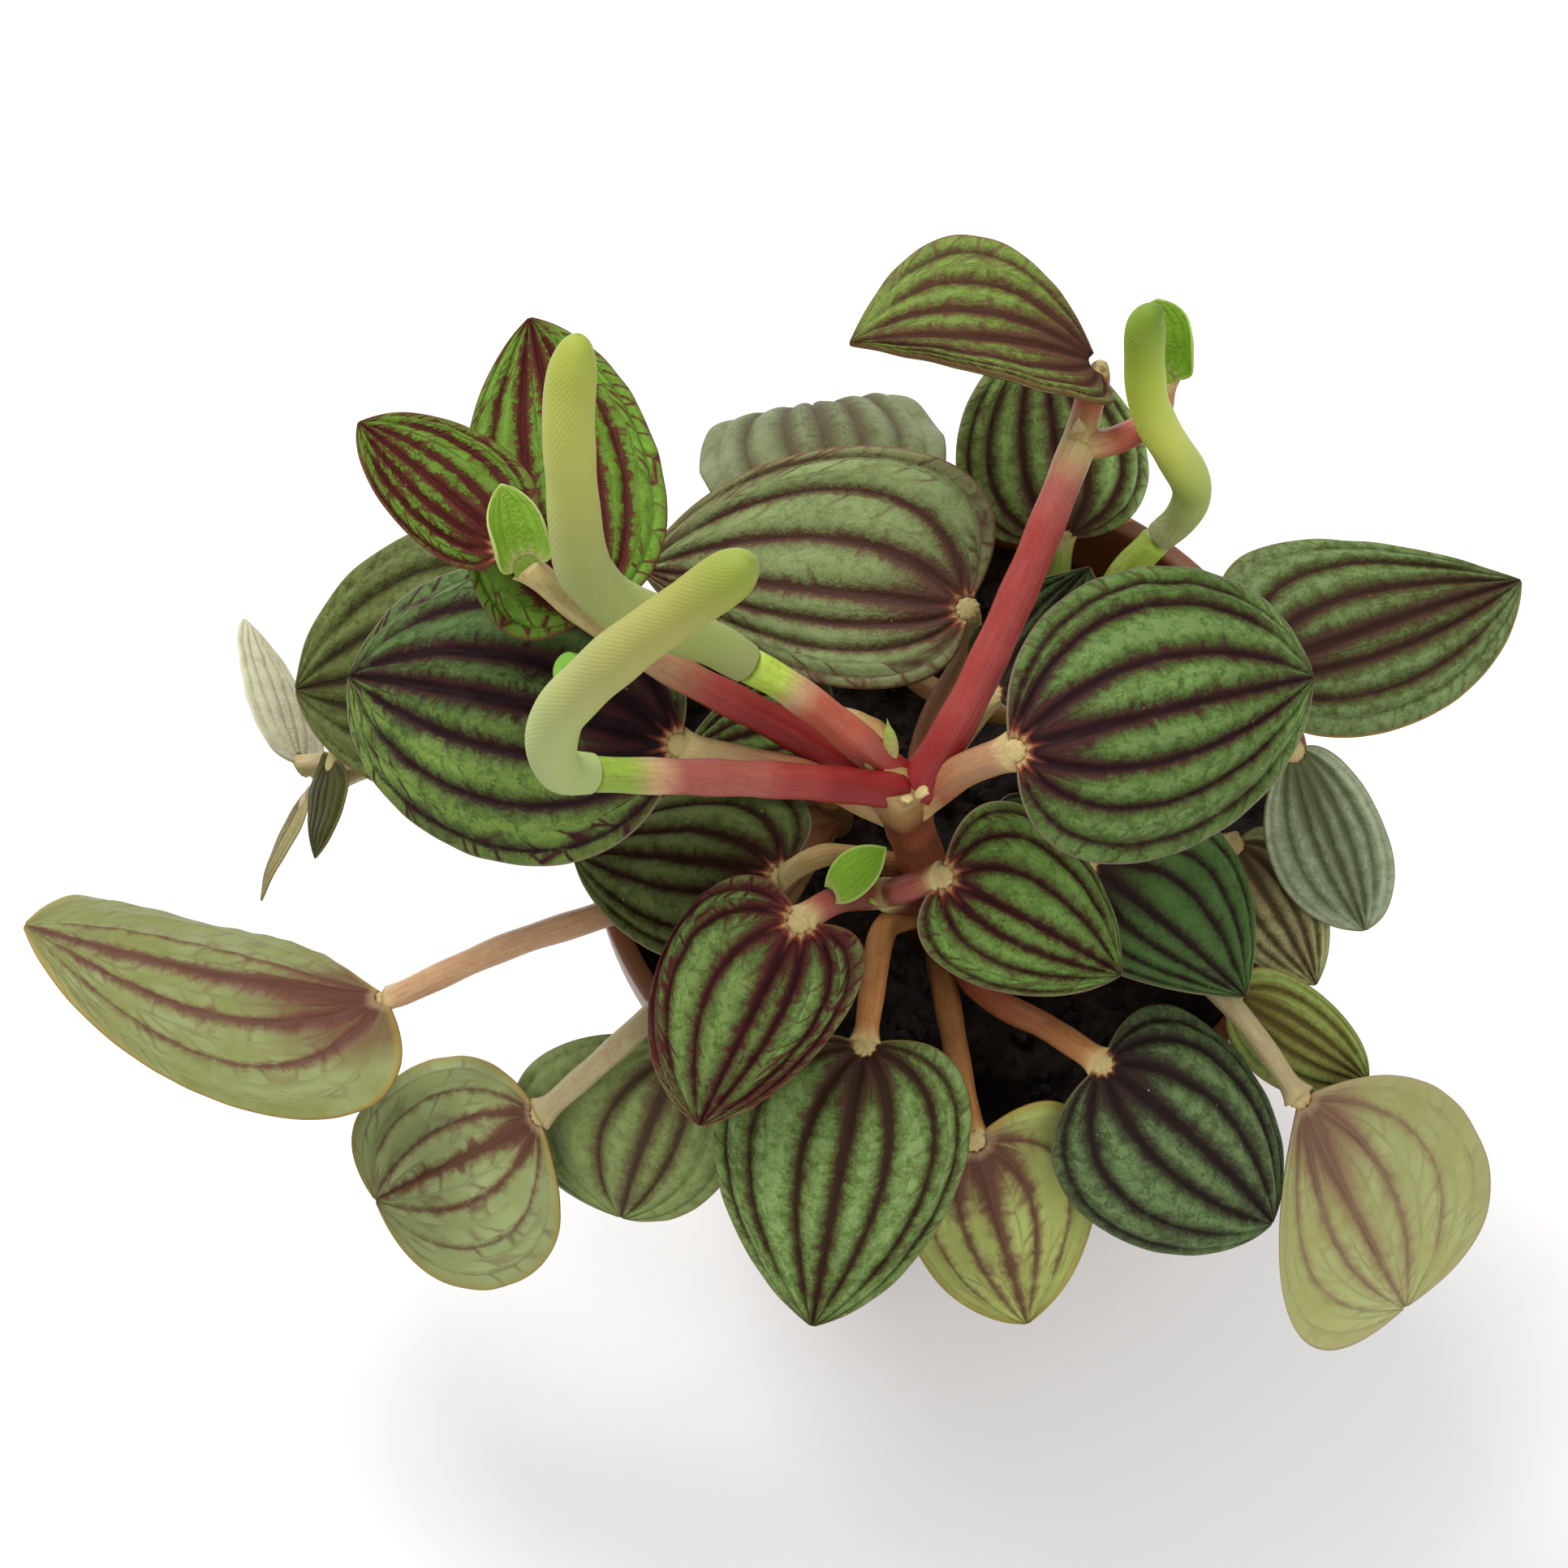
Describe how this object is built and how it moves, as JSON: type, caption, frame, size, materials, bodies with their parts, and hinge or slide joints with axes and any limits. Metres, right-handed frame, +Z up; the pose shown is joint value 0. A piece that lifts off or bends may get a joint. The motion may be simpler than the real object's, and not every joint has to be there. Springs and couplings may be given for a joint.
{
  "type": "potted plant",
  "caption": "Potted peperomia: a bushy cluster of heart-shaped, dark-veined leaves on red stalks, with curled flower spikes, in a small round brown nursery pot.",
  "frame": {"origin": "centre of the pot's base, on the surface that it stands on", "axes": "+Z up along the pot's axis, -Y towards the side that the plant is seen from, +X to the viewer's right"},
  "size_m": [0.1556, 0.1048, 0.1504],
  "materials": {
    "pot_plastic": "satin",
    "potting_soil": "matte",
    "stem_red": "satin",
    "leaf_mature": "satin",
    "leaf_young": "satin",
    "leaf_pale": "matte",
    "spike_green": "matte"
  },
  "bodies": {
    "root": {"pot": "pot_plastic", "soil": "potting_soil", "main_stem": "stem_red", "right_shoot": "stem_red", "back_shoot": "stem_red", "left_shoot": "stem_red", "leaf_01": "leaf_mature", "leaf_04": "leaf_mature", "leaf_06": "leaf_young", "leaf_07": "leaf_young", "leaf_08": "leaf_young", "young_leaf_left": "leaf_young", "young_leaf_right": "leaf_young", "young_leaf_front": "leaf_young", "leaf_10": "leaf_mature", "leaf_26": "leaf_young", "leaf_12": "leaf_mature", "leaf_02": "leaf_mature", "leaf_03": "leaf_mature", "leaf_05": "leaf_mature", "leaf_09": "leaf_mature", "leaf_13": "leaf_mature", "leaf_16": "leaf_mature", "leaf_22": "leaf_mature", "leaf_25": "leaf_mature", "leaf_11": "leaf_mature", "leaf_14": "leaf_mature", "leaf_15": "leaf_mature", "leaf_17": "leaf_mature", "leaf_18": "leaf_pale", "leaf_19": "leaf_pale", "leaf_20": "leaf_pale", "leaf_21": "leaf_mature", "leaf_23": "leaf_pale", "leaf_24": "leaf_mature", "leaf_27": "leaf_pale", "leaf_28": "leaf_mature", "leaf_29": "leaf_pale", "leaf_30": "leaf_mature", "spike_left": "spike_green", "spike_centre": "spike_green", "spike_right": "spike_green", "bud_left": "spike_green"}
  },
  "joints": []
}
